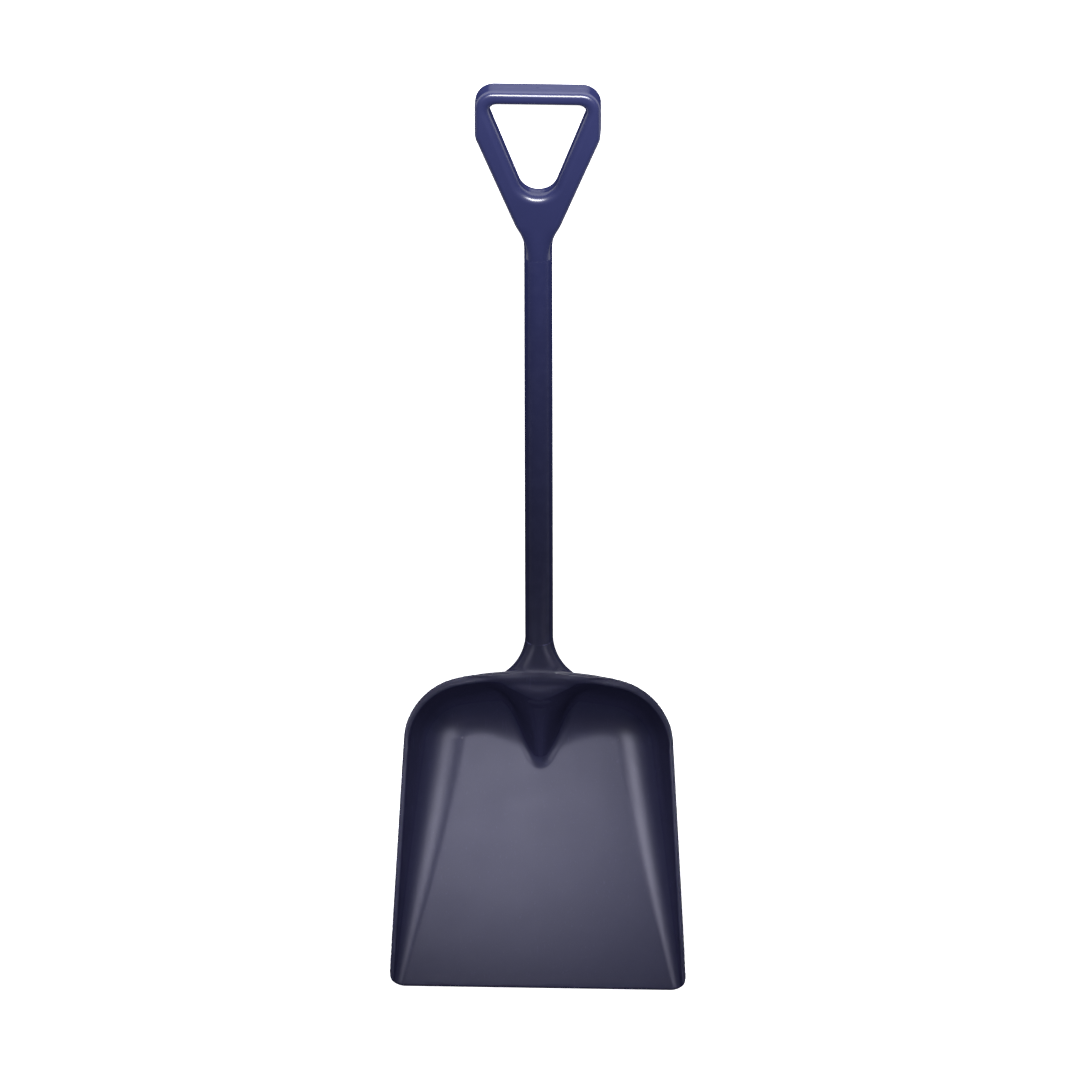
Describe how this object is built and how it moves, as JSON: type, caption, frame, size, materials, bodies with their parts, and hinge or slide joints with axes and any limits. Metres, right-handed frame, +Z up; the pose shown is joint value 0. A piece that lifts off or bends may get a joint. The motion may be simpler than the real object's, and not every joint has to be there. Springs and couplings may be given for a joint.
{
  "type": "snow shovel",
  "caption": "Long-handled moulded snow scoop with raised walls, straight round shaft and closed D-grip, lying on its back.",
  "frame": {"origin": "middle of the shovel's box, on the surface that it lies on", "axes": "+Y along the handle from the scoop's tip to the grip, +X across the scoop, +Z up; the scoop's open side faces up"},
  "size_m": [0.3438, 1.1282, 0.128],
  "materials": {
    "scoop_plastic": "satin moulded navy",
    "sleeve_plastic": "satin moulded navy",
    "grip_plastic": "satin moulded navy",
    "tube_aluminium": "drawn",
    "plug_plastic": "matt black",
    "screw_steel": "zinc plated",
    "pin_steel": "bright"
  },
  "bodies": {
    "root": {"scoop_blade": "scoop_plastic", "shaft_sleeve": "sleeve_plastic", "core_tube": "tube_aluminium", "lower_tube_plug": "plug_plastic", "upper_tube_plug": "plug_plastic", "socket_screws": "screw_steel", "grip_front_shell": "grip_plastic", "grip_rear_shell": "grip_plastic", "grip_screws": "screw_steel", "grip_pin": "pin_steel"}
  },
  "joints": []
}
